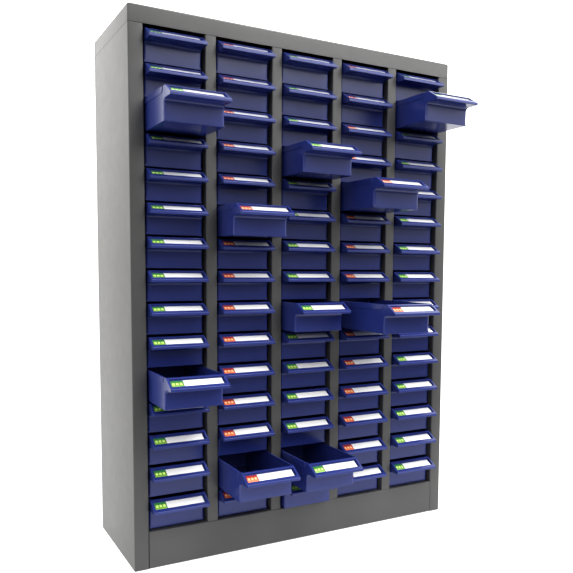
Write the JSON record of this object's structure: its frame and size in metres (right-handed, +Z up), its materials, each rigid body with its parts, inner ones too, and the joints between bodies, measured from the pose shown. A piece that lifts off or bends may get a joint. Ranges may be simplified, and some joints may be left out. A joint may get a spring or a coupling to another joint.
{
  "type": "small parts drawer cabinet",
  "caption": "Tall sheet-steel cabinet with columns of small plastic drawers, each with a sloping label lip, that slide out on steel angle runners.",
  "frame": {"origin": "centre of the cabinet's footprint on the floor", "axes": "+Z up, +Y to the back, +X to the right as seen from the drawers' side"},
  "size_m": [0.586, 0.3802, 0.84],
  "materials": {
    "painted_steel": "semi-matt dark grey powder coat with a fine orange-peel texture",
    "runner_steel": "dark painted strip",
    "drawer_plastic": "moulded blue plastic with a soft gloss",
    "label_card": "white label card",
    "label_tab_green": "green printed tab on the label card",
    "label_tab_red": "red printed tab on the label card"
  },
  "bodies": {
    "cabinet": {"left_side_panel": "painted_steel", "right_side_panel": "painted_steel", "back_panel": "painted_steel", "top_cover": "painted_steel", "base_plinth": "painted_steel", "bottom_pan": "painted_steel", "runner_ledges": "runner_steel", "column_post_1": "painted_steel", "column_post_2": "painted_steel", "column_post_3": "painted_steel", "column_post_4": "painted_steel"},
    "drawer_r01_c1": {"drawer_r01_c1": "drawer_plastic"},
    "drawer_r01_c2": {"drawer_r01_c2": "drawer_plastic"},
    "drawer_r01_c3": {"drawer_r01_c3": "drawer_plastic"},
    "drawer_r01_c4": {"drawer_r01_c4": "drawer_plastic"},
    "drawer_r01_c5": {"drawer_r01_c5": "drawer_plastic"},
    "drawer_r02_c1": {"drawer_r02_c1": "drawer_plastic"},
    "drawer_r02_c2": {"drawer_r02_c2": "drawer_plastic"},
    "drawer_r02_c3": {"drawer_r02_c3": "drawer_plastic"},
    "drawer_r02_c4": {"drawer_r02_c4": "drawer_plastic"},
    "drawer_r02_c5": {"drawer_r02_c5": "drawer_plastic"},
    "drawer_r03_c1": {"drawer_r03_c1": "drawer_plastic"},
    "drawer_r03_c2": {"drawer_r03_c2": "drawer_plastic"},
    "drawer_r03_c3": {"drawer_r03_c3": "drawer_plastic"},
    "drawer_r03_c4": {"drawer_r03_c4": "drawer_plastic"},
    "drawer_r03_c5": {"drawer_r03_c5": "drawer_plastic"},
    "drawer_r04_c1": {"drawer_r04_c1": "drawer_plastic"},
    "drawer_r04_c2": {"drawer_r04_c2": "drawer_plastic"},
    "drawer_r04_c3": {"drawer_r04_c3": "drawer_plastic"},
    "drawer_r04_c4": {"drawer_r04_c4": "drawer_plastic"},
    "drawer_r04_c5": {"drawer_r04_c5": "drawer_plastic"},
    "drawer_r05_c1": {"drawer_r05_c1": "drawer_plastic"},
    "drawer_r05_c2": {"drawer_r05_c2": "drawer_plastic"},
    "drawer_r05_c3": {"drawer_r05_c3": "drawer_plastic"},
    "drawer_r05_c4": {"drawer_r05_c4": "drawer_plastic"},
    "drawer_r05_c5": {"drawer_r05_c5": "drawer_plastic"},
    "drawer_r06_c1": {"drawer_r06_c1": "drawer_plastic"},
    "drawer_r06_c2": {"drawer_r06_c2": "drawer_plastic"},
    "drawer_r06_c3": {"drawer_r06_c3": "drawer_plastic"},
    "drawer_r06_c4": {"drawer_r06_c4": "drawer_plastic"},
    "drawer_r06_c5": {"drawer_r06_c5": "drawer_plastic"},
    "drawer_r07_c1": {"drawer_r07_c1": "drawer_plastic"},
    "drawer_r07_c2": {"drawer_r07_c2": "drawer_plastic"},
    "drawer_r07_c3": {"drawer_r07_c3": "drawer_plastic"},
    "drawer_r07_c4": {"drawer_r07_c4": "drawer_plastic"},
    "drawer_r07_c5": {"drawer_r07_c5": "drawer_plastic"},
    "drawer_r08_c1": {"drawer_r08_c1": "drawer_plastic"},
    "drawer_r08_c2": {"drawer_r08_c2": "drawer_plastic"},
    "drawer_r08_c3": {"drawer_r08_c3": "drawer_plastic"},
    "drawer_r08_c4": {"drawer_r08_c4": "drawer_plastic"},
    "drawer_r08_c5": {"drawer_r08_c5": "drawer_plastic"},
    "drawer_r09_c1": {"drawer_r09_c1": "drawer_plastic"},
    "drawer_r09_c2": {"drawer_r09_c2": "drawer_plastic"},
    "drawer_r09_c3": {"drawer_r09_c3": "drawer_plastic"},
    "drawer_r09_c4": {"drawer_r09_c4": "drawer_plastic"},
    "drawer_r11_c1": {"drawer_r11_c1": "drawer_plastic"},
    "drawer_r14_c2": {"drawer_r14_c2": "drawer_plastic"},
    "drawer_r14_c3": {"drawer_r14_c3": "drawer_plastic"},
    "drawer_r15_c3": {"drawer_r15_c3": "drawer_plastic"},
    "lower_drawer_bank": {"lower_drawer_bank": "drawer_plastic"}
  },
  "joints": [
    {"name": "drawer_r01_c1_slide", "type": "slide", "parent": "cabinet", "child": "drawer_r01_c1", "axis": [0, -1, 0], "range_m": [0, 0.15]},
    {"name": "drawer_r01_c2_slide", "type": "slide", "parent": "cabinet", "child": "drawer_r01_c2", "axis": [0, -1, 0], "range_m": [0, 0.15]},
    {"name": "drawer_r01_c3_slide", "type": "slide", "parent": "cabinet", "child": "drawer_r01_c3", "axis": [0, -1, 0], "range_m": [0, 0.15]},
    {"name": "drawer_r01_c4_slide", "type": "slide", "parent": "cabinet", "child": "drawer_r01_c4", "axis": [0, -1, 0], "range_m": [0, 0.15]},
    {"name": "drawer_r01_c5_slide", "type": "slide", "parent": "cabinet", "child": "drawer_r01_c5", "axis": [0, -1, 0], "range_m": [0, 0.15]},
    {"name": "drawer_r02_c1_slide", "type": "slide", "parent": "cabinet", "child": "drawer_r02_c1", "axis": [0, -1, 0], "range_m": [0, 0.15]},
    {"name": "drawer_r02_c2_slide", "type": "slide", "parent": "cabinet", "child": "drawer_r02_c2", "axis": [0, -1, 0], "range_m": [0, 0.15]},
    {"name": "drawer_r02_c3_slide", "type": "slide", "parent": "cabinet", "child": "drawer_r02_c3", "axis": [0, -1, 0], "range_m": [0, 0.15]},
    {"name": "drawer_r02_c4_slide", "type": "slide", "parent": "cabinet", "child": "drawer_r02_c4", "axis": [0, -1, 0], "range_m": [0, 0.15]},
    {"name": "drawer_r02_c5_slide", "type": "slide", "parent": "cabinet", "child": "drawer_r02_c5", "axis": [0, -1, 0], "range_m": [-0.092, 0.058]},
    {"name": "drawer_r03_c1_slide", "type": "slide", "parent": "cabinet", "child": "drawer_r03_c1", "axis": [0, -1, 0], "range_m": [-0.094, 0.056]},
    {"name": "drawer_r03_c2_slide", "type": "slide", "parent": "cabinet", "child": "drawer_r03_c2", "axis": [0, -1, 0], "range_m": [0, 0.15]},
    {"name": "drawer_r03_c3_slide", "type": "slide", "parent": "cabinet", "child": "drawer_r03_c3", "axis": [0, -1, 0], "range_m": [0, 0.15]},
    {"name": "drawer_r03_c4_slide", "type": "slide", "parent": "cabinet", "child": "drawer_r03_c4", "axis": [0, -1, 0], "range_m": [0, 0.15]},
    {"name": "drawer_r03_c5_slide", "type": "slide", "parent": "cabinet", "child": "drawer_r03_c5", "axis": [0, -1, 0], "range_m": [0, 0.15]},
    {"name": "drawer_r04_c1_slide", "type": "slide", "parent": "cabinet", "child": "drawer_r04_c1", "axis": [0, -1, 0], "range_m": [0, 0.15]},
    {"name": "drawer_r04_c2_slide", "type": "slide", "parent": "cabinet", "child": "drawer_r04_c2", "axis": [0, -1, 0], "range_m": [0, 0.15]},
    {"name": "drawer_r04_c3_slide", "type": "slide", "parent": "cabinet", "child": "drawer_r04_c3", "axis": [0, -1, 0], "range_m": [-0.078, 0.072]},
    {"name": "drawer_r04_c4_slide", "type": "slide", "parent": "cabinet", "child": "drawer_r04_c4", "axis": [0, -1, 0], "range_m": [0, 0.15]},
    {"name": "drawer_r04_c5_slide", "type": "slide", "parent": "cabinet", "child": "drawer_r04_c5", "axis": [0, -1, 0], "range_m": [0, 0.15]},
    {"name": "drawer_r05_c1_slide", "type": "slide", "parent": "cabinet", "child": "drawer_r05_c1", "axis": [0, -1, 0], "range_m": [0, 0.15]},
    {"name": "drawer_r05_c2_slide", "type": "slide", "parent": "cabinet", "child": "drawer_r05_c2", "axis": [0, -1, 0], "range_m": [0, 0.15]},
    {"name": "drawer_r05_c3_slide", "type": "slide", "parent": "cabinet", "child": "drawer_r05_c3", "axis": [0, -1, 0], "range_m": [0, 0.15]},
    {"name": "drawer_r05_c4_slide", "type": "slide", "parent": "cabinet", "child": "drawer_r05_c4", "axis": [0, -1, 0], "range_m": [-0.107, 0.043]},
    {"name": "drawer_r05_c5_slide", "type": "slide", "parent": "cabinet", "child": "drawer_r05_c5", "axis": [0, -1, 0], "range_m": [0, 0.15]},
    {"name": "drawer_r06_c1_slide", "type": "slide", "parent": "cabinet", "child": "drawer_r06_c1", "axis": [0, -1, 0], "range_m": [0, 0.15]},
    {"name": "drawer_r06_c2_slide", "type": "slide", "parent": "cabinet", "child": "drawer_r06_c2", "axis": [0, -1, 0], "range_m": [-0.069, 0.081]},
    {"name": "drawer_r06_c3_slide", "type": "slide", "parent": "cabinet", "child": "drawer_r06_c3", "axis": [0, -1, 0], "range_m": [0, 0.15]},
    {"name": "drawer_r06_c4_slide", "type": "slide", "parent": "cabinet", "child": "drawer_r06_c4", "axis": [0, -1, 0], "range_m": [0, 0.15]},
    {"name": "drawer_r06_c5_slide", "type": "slide", "parent": "cabinet", "child": "drawer_r06_c5", "axis": [0, -1, 0], "range_m": [0, 0.15]},
    {"name": "drawer_r07_c1_slide", "type": "slide", "parent": "cabinet", "child": "drawer_r07_c1", "axis": [0, -1, 0], "range_m": [0, 0.15]},
    {"name": "drawer_r07_c2_slide", "type": "slide", "parent": "cabinet", "child": "drawer_r07_c2", "axis": [0, -1, 0], "range_m": [0, 0.15]},
    {"name": "drawer_r07_c3_slide", "type": "slide", "parent": "cabinet", "child": "drawer_r07_c3", "axis": [0, -1, 0], "range_m": [0, 0.15]},
    {"name": "drawer_r07_c4_slide", "type": "slide", "parent": "cabinet", "child": "drawer_r07_c4", "axis": [0, -1, 0], "range_m": [0, 0.15]},
    {"name": "drawer_r07_c5_slide", "type": "slide", "parent": "cabinet", "child": "drawer_r07_c5", "axis": [0, -1, 0], "range_m": [0, 0.15]},
    {"name": "drawer_r08_c1_slide", "type": "slide", "parent": "cabinet", "child": "drawer_r08_c1", "axis": [0, -1, 0], "range_m": [0, 0.15]},
    {"name": "drawer_r08_c2_slide", "type": "slide", "parent": "cabinet", "child": "drawer_r08_c2", "axis": [0, -1, 0], "range_m": [0, 0.15]},
    {"name": "drawer_r08_c3_slide", "type": "slide", "parent": "cabinet", "child": "drawer_r08_c3", "axis": [0, -1, 0], "range_m": [0, 0.15]},
    {"name": "drawer_r08_c4_slide", "type": "slide", "parent": "cabinet", "child": "drawer_r08_c4", "axis": [0, -1, 0], "range_m": [0, 0.15]},
    {"name": "drawer_r08_c5_slide", "type": "slide", "parent": "cabinet", "child": "drawer_r08_c5", "axis": [0, -1, 0], "range_m": [0, 0.15]},
    {"name": "drawer_r09_c1_slide", "type": "slide", "parent": "cabinet", "child": "drawer_r09_c1", "axis": [0, -1, 0], "range_m": [0, 0.15]},
    {"name": "drawer_r09_c2_slide", "type": "slide", "parent": "cabinet", "child": "drawer_r09_c2", "axis": [0, -1, 0], "range_m": [0, 0.15]},
    {"name": "drawer_r09_c3_slide", "type": "slide", "parent": "cabinet", "child": "drawer_r09_c3", "axis": [0, -1, 0], "range_m": [-0.052, 0.098]},
    {"name": "drawer_r09_c4_slide", "type": "slide", "parent": "cabinet", "child": "drawer_r09_c4", "axis": [0, -1, 0], "range_m": [-0.142, 0.008]},
    {"name": "drawer_r11_c1_slide", "type": "slide", "parent": "cabinet", "child": "drawer_r11_c1", "axis": [0, -1, 0], "range_m": [-0.085, 0.065]},
    {"name": "drawer_r14_c2_slide", "type": "slide", "parent": "cabinet", "child": "drawer_r14_c2", "axis": [0, -1, 0], "range_m": [-0.091, 0.059]},
    {"name": "drawer_r14_c3_slide", "type": "slide", "parent": "cabinet", "child": "drawer_r14_c3", "axis": [0, -1, 0], "range_m": [-0.095, 0.055]},
    {"name": "drawer_r15_c3_slide", "type": "slide", "parent": "cabinet", "child": "drawer_r15_c3", "axis": [0, -1, 0], "range_m": [-0.017, 0.133]},
    {"name": "lower_drawer_bank_slide", "type": "slide", "parent": "cabinet", "child": "lower_drawer_bank", "axis": [0, -1, 0], "range_m": [0, 0.15]}
  ]
}
